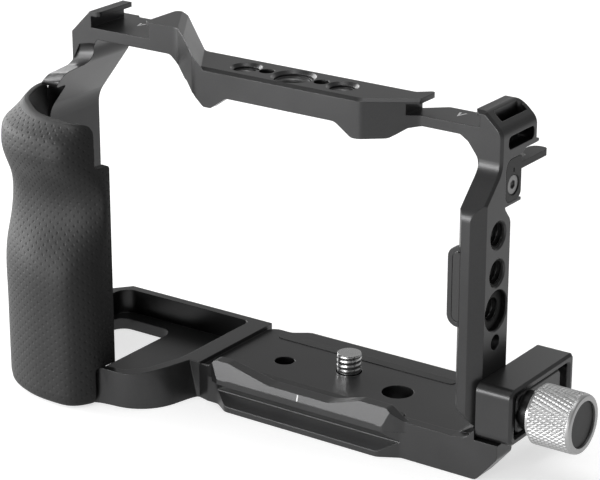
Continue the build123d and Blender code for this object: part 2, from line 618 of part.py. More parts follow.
def pad_outline(inset, y0, y1, z0, z1):
    left = -27.5 + inset
    right = 26.0 - inset
    return plan([(left, y0 + inset, 1.4 - inset), (right, y0 + inset, 1.4 - inset),
                 (right, y1 - inset, 1.4 - inset), (left, y1 - inset, 1.4 - inset)], z0, z1)


for y0, y1 in pad_rows:
    frame -= pad_outline(0.0, y0, y1, seat_z - 0.6, 20)
key_path = [(key_left, -1.6), (key_left, key_y), (key_right, key_y)]
channel = key_size / 2 + 0.3
frame -= plan([(key_left - channel, -1.2, 1.0), (key_left - channel, key_y - channel, 3.0),
               (key_right + 0.4, key_y - channel), (key_right + 0.4, key_y + channel),
               (key_left + channel, key_y + channel, 1.5), (key_left + channel, -1.2, 1.0)], -1, key_depth)
frame -= block(-4.5, 4.5, -17.6 + 3.6, key_y, -1, key_depth)
for x in magnet_x:
    frame -= rod_z(x, key_y, magnet_r + insert_gap, 2, key_depth + magnet_thickness)


def index_bar(depth, grow):
    lean = (-17.9 + foot_half) / (fence_top - 8.15)
    low = 8.35 - grow
    high = 10.0 + grow
    y_low = -foot_half + lean * (low - 8.15)
    y_high = -foot_half + lean * (high - 8.15)
    return side_view([(y_low - grow, low), (y_low + depth, low), (y_high + depth, high),
                      (y_high - grow, high)], -0.2 - grow, 0.2 + grow)


def arrow(x, y, z0, z1):
    """Small open arrowhead pointing forwards."""
    return plan([(x, y - 1.6), (x + 1.1, y + 1.5), (x + 0.5, y + 1.5), (x, y - 0.1), (x - 0.5, y + 1.5),
                 (x - 1.1, y + 1.5)], z0, z1)


frame -= index_bar(0.32, 0.02)
arrow_places = [(-63.1, 2.2, left_shoe_floor), (33.6, -1.1, right_shoe_floor)]
for x, y, z in arrow_places:
    frame -= arrow(x, y, z - 0.3, z + 1)
pieces["cage_frame"] = frame

# ---------------------------------------------------------------- thread inserts
top_inserts = []
for x in quarter_top:
    top_inserts.append(rod_z(x, top_row_y, insert_r, insert_top - insert_length + 0.02, insert_top)
                       - rod_z(x, top_row_y, quarter_r, below, above))
pieces["top_quarter_inserts"] = top_inserts
pieces["top_large_insert"] = (rod_z(top_row_x, top_row_y, large_insert_r, insert_top - insert_length + 0.02,
                                    insert_top) - rod_z(top_row_x, top_row_y, three_eighths_r, below, above))
side_inserts = []
for z in quarter_side:
    side_inserts.append(rod_x(side_row_y, z, insert_r, side_out - 0.38 - insert_length, side_out - 0.42)
                        - rod_x(side_row_y, z, quarter_r, bore_left, bore_right))
pieces["side_quarter_inserts"] = side_inserts
reducer_face = side_out - reducer_sink
reducer = rod_x(side_row_y, side_large_z, reducer_r, reducer_face - reducer_length + 0.02, reducer_face)
reducer -= rod_x(side_row_y, side_large_z, quarter_r, bore_left, bore_right)
reducer = chamfer(reducer.faces().sort_by(Axis.X)[-1].edges(), 0.4)
pieces["thread_reducer"] = reducer

# ---------------------------------------------------------------- marks and pads
pieces["index_mark"] = index_bar(0.3, 0.0)
pieces["shoe_marks"] = [arrow(x, y, z - 0.28, z - 0.02) for x, y, z in arrow_places]
pieces["seat_pads"] = [pad_outline(0.1, y0, y1, seat_z - 0.58, seat_z + 0.15) for y0, y1 in pad_rows]
pieces["tab_pad"] = tab_plate(1.4, tab_front - 0.1, tab_rear + 0.15)

# ---------------------------------------------------------------- strap-lug bracket and its screw
bracket_top = pocket_top - bracket_gap
bracket = side_view([(-4.8, bracket_low, 1.8), (2.1, bracket_low, 1.8), (2.1, bracket_top, 0.6),
                     (-4.8, bracket_top, 2.4)], bracket_left, side_out)
bracket += plan([(bracket_left, 0.0), (side_out, 0.0), (side_out, 14.8, 1.4), (side_out - 4.4, 14.8, 2.4),
                 (side_out - 4.4, 9.0, 1.0), (bracket_left, 7.0, 1.0)], bracket_top - 3.5, bracket_top - 1.9)
bracket -= rod_x(lug_screw_y, lug_screw_z, 1.62, bore_left, bore_right)
bracket -= sink_right(lug_screw_y, lug_screw_z, side_out, 2.6, 1.62)
bracket -= block(side_out - 0.3, side_out + 1, lug_screw_y - 0.25, lug_screw_y + 0.25,
                 bracket_top - 3.4, bracket_top - 2.4)
pieces["strap_lug_bracket"] = bracket
lug_screw = rod_x(lug_screw_y, lug_screw_z, 1.5, side_in + 0.4, side_out - 0.3)
lug_screw += Pos(side_out - 0.62, lug_screw_y, lug_screw_z) * Rot(0, 90, 0) * Cone(1.5, 2.25, 0.75)
lug_screw -= Pos(side_out - 0.9, lug_screw_y, lug_screw_z) * Rot(0, 90, 0) * extrude(
    RegularPolygon(1.15, 6), amount=3)
pieces["strap_lug_screw"] = lug_screw

# ---------------------------------------------------------------- cable clamp
inner_z = (clamp_z[0] + clamp_wall, clamp_z[1] - clamp_wall)
loop = side_view([(clamp_y[0], clamp_z[0], 2.2), (clamp_y[1], clamp_z[0], 1.2),
                  (clamp_y[1], clamp_z[1], 1.2), (clamp_y[0], clamp_z[1], 2.2)], clamp_left, clamp_right)
loop -= side_view([(clamp_y[0] + clamp_wall, inner_z[0], 0.4), (clamp_y[1] - clamp_wall, inner_z[0], 0.8),
                   (clamp_y[1] - clamp_wall, inner_z[1], 0.8), (clamp_y[0] + clamp_wall, inner_z[1], 0.4)],
                  clamp_left + clamp_floor, clamp_right + 1)
loop -= block(clamp_left - 1, clamp_left + clamp_floor + 1, block_y[1] - clamp_open - 0.2,
              clamp_y[1] - clamp_wall, *inner_z)
slot_half = stud_r + clamp_gap
loop -= side_view([(side_row_y - slot_half - clamp_open - 0.2, knob_z - slot_half, 1.9),
                   (side_row_y + slot_half + clamp_close + 0.2, knob_z - slot_half, 1.9),
                   (side_row_y + slot_half + clamp_close + 0.2, knob_z + slot_half, 1.9),
                   (side_row_y - slot_half - clamp_open - 0.2, knob_z + slot_half, 1.9)],
                  clamp_left - 1, clamp_left + clamp_floor + 1)
outer_edges = loop.edges().filter_by(Axis.X, reverse=True).group_by(Axis.X)[-1]
loop = chamfer(outer_edges, 0.6)
pieces["clamp_loop"] = loop
pieces["clamp_pad"] = block(clamp_left + 0.4, clamp_right - 0.5, clamp_y[1] - clamp_wall - pad,
                            clamp_y[1] - clamp_wall - 0.01, inner_z[0] + 0.9, inner_z[1] - 0.9)
block_low = inner_z[0] + clamp_gap
block_high = inner_z[1] - clamp_gap
clamp_block = side_view([(block_y[0], block_low, 1.6), (block_y[1], block_low, 1.6),
                         (block_y[1], block_high, 1.6), (block_y[0], block_high, 1.6)],
                        clamp_left + clamp_floor + clamp_gap, block_right)
clamp_block = chamfer(clamp_block.faces().sort_by(Axis.X)[-1].edges(), 0.4)
clamp_block += rod_x(side_row_y, knob_z, boss_r, block_right - 1, boss_right)
clamp_block -= rod_x(side_row_y, knob_z, stud_r + 0.1, side_in, knob_front)
pieces["clamp_block"] = clamp_block
stud = rod_x(side_row_y, knob_z, stud_r, stud_tip, knob_front - 4.4)
pieces["clamp_stud"] = chamfer(stud.faces().sort_by(Axis.X)[-1].edges(), 0.4)
collar = rod_x(side_row_y, knob_z, collar_r, boss_right + clamp_gap, knob_back - 0.02)
collar = chamfer(collar.faces().sort_by(Axis.X)[0].edges(), 0.3)
pieces["clamp_collar"] = collar - rod_x(side_row_y, knob_z, knob_bore_r, side_in, knob_front)
knob = rod_x(side_row_y, knob_z, knob_r, knob_back, knob_front)
nose = Rot(0, 90, 0) * Cone(knob_r, knob_face_r, knob_nose)
nose = Pos(knob_front - knob_nose / 2, side_row_y, knob_z) * nose
knob -= rod_x(side_row_y, knob_z, 20, knob_front - knob_nose, knob_front + 5) - nose
knob = chamfer(knob.faces().sort_by(Axis.X)[0].edges(), 0.2)
knob -= rod_x(side_row_y, knob_z, knob_bore_r, side_in, knob_front - 3.2)
knob -= rod_x(side_row_y, knob_z, knob_cap_r + insert_gap, knob_front - 1.5, knob_front + 5)
pieces["clamp_knob"] = knob
pieces["knob_cap"] = rod_x(side_row_y, knob_z, knob_cap_r, knob_front - 1.48, knob_front - 0.55)

# ---------------------------------------------------------------- camera screw, its snap ring and the key
screw = rod_z(0, camera_screw_y, camera_head_r, 1.3, 4.6)
screw = chamfer(screw.faces().sort_by(Axis.Z)[0].edges(), 0.3)
screw += rod_z(0, camera_screw_y, screw_neck_r, 4.0, seat_z + 5.0)
screw += rod_z(0, camera_screw_y, camera_screw_r, screw_thread_z, seat_z + 5.0)
screw -= block(-8, 8, camera_screw_y - 0.8, camera_screw_y + 0.8, 0, 2.6)
screw -= Pos(0, camera_screw_y, 0) * extrude(RegularPolygon(2.35, 6), amount=4.0)
pieces["camera_screw"] = screw
snap_ring = rod_z(0, camera_screw_y, 7.9, 0.52, 1.18) - rod_z(0, camera_screw_y, 6.3, 0, 2)
snap_ring -= block(-1.4, 1.4, camera_screw_y + 2, camera_screw_y + 9, 0, 2)
pieces["screw_snap_ring"] = snap_ring
key_line = [(x, y, key_depth / 2 + 0.1) for x, y in key_path]
key_wire = FilletPolyline(*key_line, radius=2.8)
key_start = Plane(origin=key_wire @ 0, z_dir=key_wire % 0)
key_section = key_start * RegularPolygon(key_size / 2, 6, major_radius=False)
pieces["hex_key"] = sweep(key_section, path=key_wire)
pieces["key_magnets"] = [rod_z(x, key_y, magnet_r, key_depth + 0.05, key_depth + magnet_thickness - 0.02)
                         for x in magnet_x]

# ---------------------------------------------------------------- hand grip skin
skin_shape = loft([make_face(grip_section(*level)) for level in grip_levels])
skin_shape -= block(-90, -40, -50, 0, grip_rim_z, above)
skin_shape -= side_view([(grip_right_step_y, grip_right_step_z, 1.0), (-20, grip_right_step_z),
                         (-20, above), (grip_right_step_y - 1.5, above),
                         (grip_right_step_y, grip_rim_z - 2.6, 3.0)], -62, -45)
skin_shape -= side_view([(-33.95, -1), (-33.95, tray_top + 0.3, 1.0), (-20, tray_top + 0.3), (-20, -1)],
                        -57, -45)
pieces["grip_skin"] = skin_shape

for name, shape in pieces.items():
    solids = [one(s, name) for s in shape] if isinstance(shape, list) else [one(shape, name)]
    whole = solids[0] if len(solids) == 1 else Compound(children=solids)
    export_step(whole, "parts/" + name + ".step")
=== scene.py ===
import json
import math
import bpy
import numpy as np
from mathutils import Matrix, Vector


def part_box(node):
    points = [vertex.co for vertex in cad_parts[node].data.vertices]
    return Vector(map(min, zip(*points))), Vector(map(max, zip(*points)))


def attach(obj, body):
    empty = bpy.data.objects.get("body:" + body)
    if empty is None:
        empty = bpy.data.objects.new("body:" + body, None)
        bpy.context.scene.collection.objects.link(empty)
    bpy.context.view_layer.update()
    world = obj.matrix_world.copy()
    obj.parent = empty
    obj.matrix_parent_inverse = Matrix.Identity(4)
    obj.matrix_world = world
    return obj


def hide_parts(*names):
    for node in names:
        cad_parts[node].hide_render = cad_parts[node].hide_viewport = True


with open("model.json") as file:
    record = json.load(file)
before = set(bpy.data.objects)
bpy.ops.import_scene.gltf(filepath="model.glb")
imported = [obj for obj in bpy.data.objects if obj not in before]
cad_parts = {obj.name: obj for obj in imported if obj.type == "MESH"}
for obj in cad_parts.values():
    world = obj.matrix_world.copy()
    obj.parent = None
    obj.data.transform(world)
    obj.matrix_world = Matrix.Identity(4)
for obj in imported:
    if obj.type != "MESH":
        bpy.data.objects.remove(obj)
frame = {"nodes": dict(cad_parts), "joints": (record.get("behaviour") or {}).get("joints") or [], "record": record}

MM = 0.001
INCH = 25.4
X, Z = 0, 2
NODES = frame["nodes"]
RECORD = frame["record"]
SLOTS = {part["node"]: part["material_slot"] for part in RECORD["subparts"]}
MOUNTS = {mount["name"]: mount for mount in RECORD["mounts"]}
JOINTS = {joint["name"]: joint for joint in frame["joints"]}
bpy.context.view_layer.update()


def place_of(thing):
    """Place of a mount or a joint, in millimetres."""
    return np.array(thing["pos_m"]) / MM


def reach(node, axis):
    """Lowest and highest coordinate of a CAD node along one axis, in millimetres."""
    low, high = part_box(node)
    return low[axis] / MM, high[axis] / MM


# ---------------------------------------------------------------- materials
MOTTLE_SCALE = 55.0      # broad clouds in the colour, per metre
GRAIN_SCALE = 2600.0     # fine grain, per metre
GRAIN_SHARE = 0.35       # of the fine grain in the colour


def noise(tree, where, scale, detail=3.0):
    """Noise in object space; scale is per metre."""
    node = tree.nodes.new("ShaderNodeTexNoise")
    node.inputs["Scale"].default_value = scale
    node.inputs["Detail"].default_value = detail
    node.inputs["Roughness"].default_value = 0.55
    tree.links.new(where, node.inputs["Vector"])
    return node.outputs["Fac"]


def mottled_colour(tree, broad, fine, dark, light):
    """Colour that drifts between dark and light with both noises."""
    scaled = tree.nodes.new("ShaderNodeMath")
    scaled.operation = "MULTIPLY"
    tree.links.new(broad, scaled.inputs[0])
    scaled.inputs[1].default_value = 1.0 - GRAIN_SHARE
    both = tree.nodes.new("ShaderNodeMath")
    both.operation = "MULTIPLY_ADD"
    tree.links.new(fine, both.inputs[0])
    both.inputs[1].default_value = GRAIN_SHARE
    tree.links.new(scaled.outputs[0], both.inputs[2])
    ramp = tree.nodes.new("ShaderNodeValToRGB")
    first, last = ramp.color_ramp.elements
    first.position, last.position = 0.35, 0.65
    first.color = (*dark, 1.0)
    last.color = (*light, 1.0)
    tree.links.new(both.outputs[0], ramp.inputs["Fac"])
    return ramp.outputs["Color"]


def mottled_roughness(tree, broad, low, high):
    ramp = tree.nodes.new("ShaderNodeMapRange")
    ramp.inputs["From Min"].default_value = 0.3
    ramp.inputs["From Max"].default_value = 0.7
    ramp.inputs["To Min"].default_value = low
    ramp.inputs["To Max"].default_value = high
    tree.links.new(broad, ramp.inputs["Value"])
    return ramp.outputs["Result"]


def fine_normal(tree, fine, bevel, grain):
    """Normal with edges rounded by bevel and a grain of that height, both in millimetres; either may be 0."""
    normal = None
    if bevel > 0.0:
        edge = tree.nodes.new("ShaderNodeBevel")
        edge.samples = 4
        edge.inputs["Radius"].default_value = bevel * MM
        normal = edge.outputs["Normal"]
    if grain > 0.0:
        bump = tree.nodes.new("ShaderNodeBump")
        bump.inputs["Strength"].default_value = 1.0
        bump.inputs["Distance"].default_value = grain * MM
        tree.links.new(fine, bump.inputs["Height"])
        if normal is not None:
            tree.links.new(normal, bump.inputs["Normal"])
        normal = bump.outputs["Normal"]
    return normal


def finish(name, dark, light, rough, metallic=0.0, bevel=0.0, grain=0.0, grain_scale=GRAIN_SCALE,
           specular=0.5):
    """Procedural finish: mottled colour and roughness, fine grain and rounded edges."""
    mat = bpy.data.materials.new(name)
    mat.use_nodes = True
    tree = mat.node_tree
    tree.nodes.clear()
    out = tree.nodes.new("ShaderNodeOutputMaterial")
    shader = tree.nodes.new("ShaderNodeBsdfPrincipled")
    tree.links.new(shader.outputs["BSDF"], out.inputs["Surface"])
    where = tree.nodes.new("ShaderNodeTexCoord").outputs["Object"]
    broad = noise(tree, where, MOTTLE_SCALE, 4.0)
    fine = noise(tree, where, grain_scale, 2.0)
    tree.links.new(mottled_colour(tree, broad, fine, dark, light), shader.inputs["Base Color"])
    tree.links.new(mottled_roughness(tree, broad, *rough), shader.inputs["Roughness"])
    shader.inputs["Metallic"].default_value = metallic
    shader.inputs["Specular IOR Level"].default_value = specular
    normal = fine_normal(tree, fine, bevel, grain)
    if normal is not None:
        tree.links.new(normal, shader.inputs["Normal"])
    return mat


def grey(value, blue=0.0):
    return (value, value, value + blue)


MATS = {
    "black_anodised": finish("black_anodised", grey(0.045, 0.0005), grey(0.053, 0.0005), (0.30, 0.35),
                             metallic=0.85, bevel=0.27, grain=0.004),
    # near black anodising of the knob cap, also used as painted shade on the strap lug bracket
    "cap_anodised_and_painted_shade": finish("cap_anodised_and_painted_shade", grey(0.010), grey(0.014), (0.38, 0.44), metallic=0.8,
                           bevel=0.15, grain=0.003),
    "knurled_metal": finish("knurled_metal", grey(0.34), grey(0.40), (0.42, 0.50), metallic=0.9,
                            grain=0.003),
    "bright_steel": finish("bright_steel", grey(0.42), grey(0.55), (0.22, 0.32), metallic=1.0,
                           bevel=0.15, grain=0.003),
    # dark_steel is near black as painted shade: it darkens the threads deep inside the side bar's bores
    "dark_steel": finish("dark_steel", grey(0.010), grey(0.015), (0.50, 0.60), metallic=0.9,
                         bevel=0.15, grain=0.003, specular=0.2),
    # darker copy of bright steel as painted shade for the threads deep in the top plate's bores
    "insert_steel": finish("insert_steel", grey(0.10), grey(0.15), (0.42, 0.52), metallic=0.95,
                           bevel=0.15, grain=0.003),
    "screw_steel": finish("screw_steel", grey(0.16), grey(0.22), (0.38, 0.46), metallic=1.0,
                          bevel=0.1, grain=0.003),
    "nickel": finish("nickel", grey(0.55), grey(0.65), (0.15, 0.22), metallic=1.0, bevel=0.1),
    "white_mark": finish("white_mark", grey(0.62), grey(0.72), (0.4, 0.5)),
    "black_rubber": finish("black_rubber", grey(0.018), grey(0.028), (0.6, 0.7), bevel=0.2,
                           grain=0.01, specular=0.35),
    "black_silicone": finish("black_silicone", grey(0.014), grey(0.018), (0.56, 0.64), grain=0.006,
                             grain_scale=3500.0, specular=0.24),
}

# Pieces whose tone in the photo differs from the rest of their slot.
LOOKS = {
    "knob_cap": "cap_anodised_and_painted_shade",
    # the strap lug bracket gets the knob cap's darker anodising as painted shade, standing in for the dark
    # reflections on the bracket
    "strap_lug_bracket": "cap_anodised_and_painted_shade",
    "strap_lug_screw": "screw_steel",
}
for node_name, node in NODES.items():
    node.data.materials.clear()
    node.data.materials.append(MATS[LOOKS.get(node_name, SLOTS[node_name])])


# ---------------------------------------------------------------- mesh helpers
SHARP_ANGLE = math.radians(38)


def mesh_object(name, verts, faces, slot, body, stands_for=(), look=None):
    """Smooth mesh on a body; look names another material than the slot's own."""
    mesh = bpy.data.meshes.new(name)
    mesh.from_pydata([tuple(v) for v in verts], [], faces)
    mesh.update()
    mesh.polygons.foreach_set("use_smooth", [True] * len(mesh.polygons))
    mesh.set_sharp_from_angle(angle=SHARP_ANGLE)
    obj = bpy.data.objects.new(name, mesh)
    bpy.context.scene.collection.objects.link(obj)
    mesh.materials.append(MATS[look or slot])
    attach(obj, body)
    if stands_for:
        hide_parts(*stands_for)
    return obj


def lathe(rings, columns):
    """Closed surface through rings; a ring is a function of the angles giving (radius, height)."""
    angle = np.linspace(0.0, 2 * math.pi, columns, endpoint=False)
    rows = []
    for ring in rings:
        radius, height = ring(angle)
        radius = np.broadcast_to(radius, angle.shape)
        height = np.broadcast_to(height, angle.shape)
        rows.append(np.stack([radius * np.cos(angle), radius * np.sin(angle), height], axis=1))
    faces = []
    for i in range(len(rings)):
        a = i * columns
        b = ((i + 1) % len(rings)) * columns
        for j in range(columns):
            k = (j + 1) % columns
            faces.append((a + j, a + k, b + k, b + j))
    return np.concatenate(rows), faces


def circle(radius, height):
    return lambda angle: (radius, height)


def joined(parts):
    """One mesh from several (verts, faces) pairs."""
    verts = []
    faces = []
    base = 0
    for part_verts, part_faces in parts:
        verts.append(part_verts)
        faces.extend(tuple(i + base for i in face) for face in part_faces)
        base += len(part_verts)
    return np.concatenate(verts), faces


def along_z(part, place):
    """Turned piece put upright at a place in millimetres."""
    verts, faces = part
    return (verts + np.array(place)) * MM, faces


def along_x(part, place):
    """Turned piece laid along x at a place in millimetres."""
    verts, faces = part
    turned = np.stack([verts[:, 2], verts[:, 0], verts[:, 1]], axis=1)
    return (turned + np.array(place)) * MM, faces


def saw(t):
    """Triangle wave, 0 at whole numbers and 1 halfway between."""
    t = t - np.floor(t)
    return 1.0 - np.abs(2.0 * t - 1.0)


# ---------------------------------------------------------------- threads
THREAD_COLUMNS = 96
FLANKS = (1.6, 0.3)      # a cut thread's slope, and how much of its crest is flat
RINGS_PER_TURN = 8
MOUTH = 0.35             # the bore's mouth is this much wider than the bore
FOOT = 0.3               # and so is its lower end
LEAD_IN = 0.15           # plain stretch at both ends of a cut thread
RUN_OUT = 0.6            # length over which a thread on a rod fades out
SUNK = 0.4               # a thread on a rod starts this deep in it
QUARTER_PITCH = INCH / 20
QUARTER_ROOT = 3.08
LARGE_PITCH = INCH / 16
LARGE_BORE = 4.0
LARGE_ROOT = 4.6


def insert_length():
    low, high = reach("top_quarter_inserts", Z)
    return high - low


def thread_ring(outside, bore, root, length, pitch):
    """Sleeve with a screw thread cut in its bore, from height 0 down to -length."""
    rings = [circle(bore + MOUTH, 0.0), circle(outside, 0.0), circle(outside, -length),
             circle(bore + FOOT, -length)]
    steps = int(length / pitch * RINGS_PER_TURN)
    for i in range(steps + 1):
        height = -length + LEAD_IN + (length - 2 * LEAD_IN) * i / steps

        def ring(angle, height=height):
            wave = saw(height / pitch - angle / (2 * math.pi))
            cut = np.clip(FLANKS[0] * wave - FLANKS[1], 0.0, 1.0)
            return bore + (root - bore) * cut, height
        rings.append(ring)
    return lathe(rings, THREAD_COLUMNS)


def thread_rod(core, crest, length, pitch):
    """Thread standing on a plain rod, from height 0 up to length."""
    rings = [circle(core - SUNK, 0.0)]
    steps = int(length / pitch * RINGS_PER_TURN)
    for i in range(steps + 1):
        height = length * i / steps
        fade = min(1.0, height / RUN_OUT, (length - height) / RUN_OUT)

        def ring(angle, height=height, fade=fade):
            wave = saw(height / pitch - angle / (2 * math.pi))
            return core + (crest - core) * fade * wave, height
        rings.append(ring)
    rings.append(circle(core - SUNK, length))
    return lathe(rings, THREAD_COLUMNS)


def top_threads():
    """Three inserts in the middle plate, the large one between the two quarter inch ones."""
    pair = MOUNTS["top_quarter_pair"]
    middle = place_of(pair)
    half = np.array([pair["dims"]["spacing_x_mm"] / 2, 0.0, 0.0])
    outside = reach("top_quarter_inserts", X)[1] - (middle + half)[X]
    quarter = thread_ring(outside, pair["dims"]["hole_r_mm"], QUARTER_ROOT, insert_length(), QUARTER_PITCH)
    # the top threads get a darkened copy of bright steel as painted shade inside the bores
    mesh_object("top_quarter_threads", *joined([along_z(quarter, middle + side * half) for side in (-1, 1)]),
                "bright_steel", "frame", ["top_quarter_inserts"], "insert_steel")
    outside = reach("top_large_insert", X)[1] - middle[X]
    large = thread_ring(outside, LARGE_BORE, LARGE_ROOT, insert_length(), LARGE_PITCH)
    mesh_object("top_large_thread", *along_z(large, middle), "bright_steel", "frame",
                ["top_large_insert"], "insert_steel")


def side_threads():
    """Two inserts and the reducer ring in the side bar."""
    pair = MOUNTS["side_quarter_pair"]
    bore = pair["dims"]["hole_r_mm"]
    middle = place_of(pair)
    middle[X] = reach("side_quarter_inserts", X)[1]
    half = np.array([0.0, 0.0, pair["dims"]["spacing_y_mm"] / 2])
    outside = (middle - half)[Z] - reach("side_quarter_inserts", Z)[0]
    quarter = thread_ring(outside, bore, QUARTER_ROOT, insert_length(), QUARTER_PITCH)
    # the side threads and the reducer's thread get near black dark_steel as painted shade deep in their bores
    mesh_object("side_quarter_threads", *joined([along_x(quarter, middle + end * half) for end in (-1, 1)]),
                "dark_steel", "frame", ["side_quarter_inserts"])
    place = place_of(MOUNTS["reducer_thread"])
    back, face = reach("thread_reducer", X)
    outside = place[Z] - reach("thread_reducer", Z)[0]
    reducer = thread_ring(outside, bore, QUARTER_ROOT, face - back, QUARTER_PITCH)
    mesh_object("reducer_threads", *along_x(reducer, place), "dark_steel", "frame", ["thread_reducer"])


def camera_screw_thread():
    """Thread on the plain CAD screw, a little above its foot and below its tip."""
    mount = MOUNTS["camera_screw"]
    start = 0.3
    end = 0.2
    core = mount["dims"]["r_mm"] + 0.01
    crest = INCH / 8 - 0.005
    thread = thread_rod(core, crest, mount["dims"]["length_mm"] - start - end, QUARTER_PITCH)
    mesh_object("camera_screw_thread", *along_z(thread, place_of(mount) + [0.0, 0.0, start]),
                "bright_steel", "camera_screw")


top_threads()
side_threads()
camera_screw_thread()


# ---------------------------------------------------------------- knurled knob
KNURL_AROUND = 42        # diamonds around the knob
KNURL_DEPTH = 0.24
KNURL_TOP = 0.62         # share of a diamond's height at which its tip is cut flat
KNURL_START = 0.2        # the knurl begins this far from the back
KNURL_STOP = 0.9         # and ends this far from the face
KNURL_FADE = (0.3, 0.2)  # length over which it fades at its start and its end
KNURL_SINK = 0.05        # its plain ends lie this much below the radius
KNURL_RISE = (0.762, -0.254)         # turns of both groove families per millimetre along the knob
KNOB_BORE = (2.04, 3.2)              # radius, and distance of the bore's end from the face
KNOB_BACK = ((0.35, 0.0), (0.2, 0.15))         # (below the radius, in front of the back)
KNOB_NOSE = ((0.08, 0.8), (0.2, 0.35), (0.32, 0.15), (0.5, 0.0))       # (below the radius, behind the face)
POCKET_R = 5.67          # pocket of the cap, with a small bevel at its mouth
POCKET_DEPTH = 1.5
POCKET_BEVEL = 0.08
ON_AXIS = 0.02           # radius of the small rings that close an end


def knob_mesh(radius, back, face):
    """Knob along its own axis, from back to face."""
    bore_r, bore_stop = KNOB_BORE
    rings = [circle(ON_AXIS, face - bore_stop), circle(bore_r, face - bore_stop), circle(bore_r, back)]
    rings += [circle(radius - below, back + ahead) for below, ahead in KNOB_BACK]
    start = back + KNURL_START
    stop = face - KNURL_STOP
    rows = 150
    for i in range(rows + 1):
        x = start + (stop - start) * i / rows
        fade = max(0.0, min(1.0, (x - start) / KNURL_FADE[0], (stop - x) / KNURL_FADE[1]))

        def ring(angle, x=x, fade=fade):
            u = angle * KNURL_AROUND / (2 * math.pi)
            height = np.minimum(*(saw(u + rise * x) for rise in KNURL_RISE))
            height = np.minimum(height, KNURL_TOP) / KNURL_TOP
            return radius - KNURL_DEPTH * (1.0 - height) * fade - KNURL_SINK * (1.0 - fade), x
        rings.append(ring)
    rings += [circle(radius - below, face - behind) for below, behind in KNOB_NOSE]
    rings += [circle(POCKET_R + POCKET_BEVEL, face), circle(POCKET_R, face - POCKET_BEVEL),
              circle(POCKET_R, face - POCKET_DEPTH), circle(ON_AXIS, face - POCKET_DEPTH)]
    return lathe(rings, KNURL_AROUND * (14))


def knob():
    axis = place_of(JOINTS["knob_turn"])
    axis[X] = 0.0
    back, face = reach("clamp_knob", X)
    radius = axis[Z] - reach("clamp_knob", Z)[0]
    mesh_object("knurled_knob", *along_x(knob_mesh(radius, back, face), axis), "knurled_metal",
                "clamp_knob", ["clamp_knob"])


knob()


# ---------------------------------------------------------------- dimpled skin of the hand grip
# Outline seen from above, from the end beside the camera body round the front to the left post:
# x, y, share of the hollow for the fingers that reaches the point, and how far the rim comes in there.
GRIP_OUTLINE = np.array([
    (-50.0, -27.3, 0.00, 0.1), (-50.4, -32.0, 0.30, 0.3), (-51.9, -36.6, 0.80, 1.6),
    (-54.8, -39.6, 1.00, 4.0), (-59.5, -40.4, 0.95, 4.6), (-65.5, -40.1, 0.82, 5.2),
    (-71.3, -38.6, 0.68, 5.9), (-76.8, -35.9, 0.52, 6.7), (-80.9, -31.9, 0.42, 6.4),
    (-83.4, -26.7, 0.28, 5.0), (-84.4, -20.0, 0.10, 2.4), (-84.6, -15.5, 0.02, 0.8),
    (-84.6, -12.0, 0.00, 0.3)])
# Height, depth of the hollow for the fingers, and share of the rim's lean.
GRIP_LEVELS = np.array([
    (0.3, 0.0, 0.0), (14.0, 0.0, 0.0), (26.0, 0.0, 0.0), (33.0, 0.0, 0.0), (38.6, 1.6, 0.0),
    (43.8, 5.0, 0.0), (50.0, 7.3, 0.0), (55.4, 6.4, 0.0), (60.0, 2.6, 0.0), (64.5, -0.2, 0.02),
    (67.6, -0.2, 0.05), (68.8, -0.1, 0.085), (69.4, 0.0, 0.13), (70.0, 0.0, 0.22), (70.6, 0.0, 0.345),
    (71.8, 0.0, 0.6), (72.8, 0.0, 0.8), (74.6, 0.0, 1.15)])
SKIN = 1.9
GRIP_FOOT = 0.3          # height of the lower edge
RIM_Z = 73.6             # height of the upper edge
NOTCH_Z = 9.63           # below this the skin starts at the tray's front
NOTCH_Y = -33.95
STEP_Z = 61.8            # above this the skin starts further to the front
STEP_Y = -32.3
CORNER = 1.0             # rounding of the notch and the step
TOP_CORNER = 2.8         # rounding of the right top corner
LIP = 0.5                # rounding of the upper edge
CLEAR = 0.012            # keeps the skin inside the CAD box
FOOT_EDGE = ((0.3, 0.6, 1.2, 3.0), (0.9, 0.6, 0.28, 0.0))     # heights, and how far the foot comes in
HOLLOW_SIDEWAYS = 0.12   # share of the hollow that goes sideways
DIMPLE_ACROSS = 2.6
DIMPLE_UP = 1.15
DIMPLE_DEPTH = 0.12
DIMPLE_R = (0.14, 0.38)  # of the flat bottom and of the rim
DIMPLE_MARGIN = 0.9      # plain border of the skin
DIMPLE_FADE = 0.3        # next to it, where the dimples grow to their full depth
ROW_STEP = 0.19    # height from one row of the mesh to the next
TOP_STEP = 0.7           # share of it above the step
SLANT_Z = 71.0           # above this the right edge slants to the front
SLANT = 0.08
TOP_CORNER_SHARE = 0.9   # the right top corner is this much narrower than high
LEAN_REACH = 5.2         # how far the rim comes in on most of the outline
HOLLOW_REACH = 0.7       # share of the hollow on most of the outline
ROW_RUN = 62.0           # rows are measured on this common length, so the dimples' columns line up


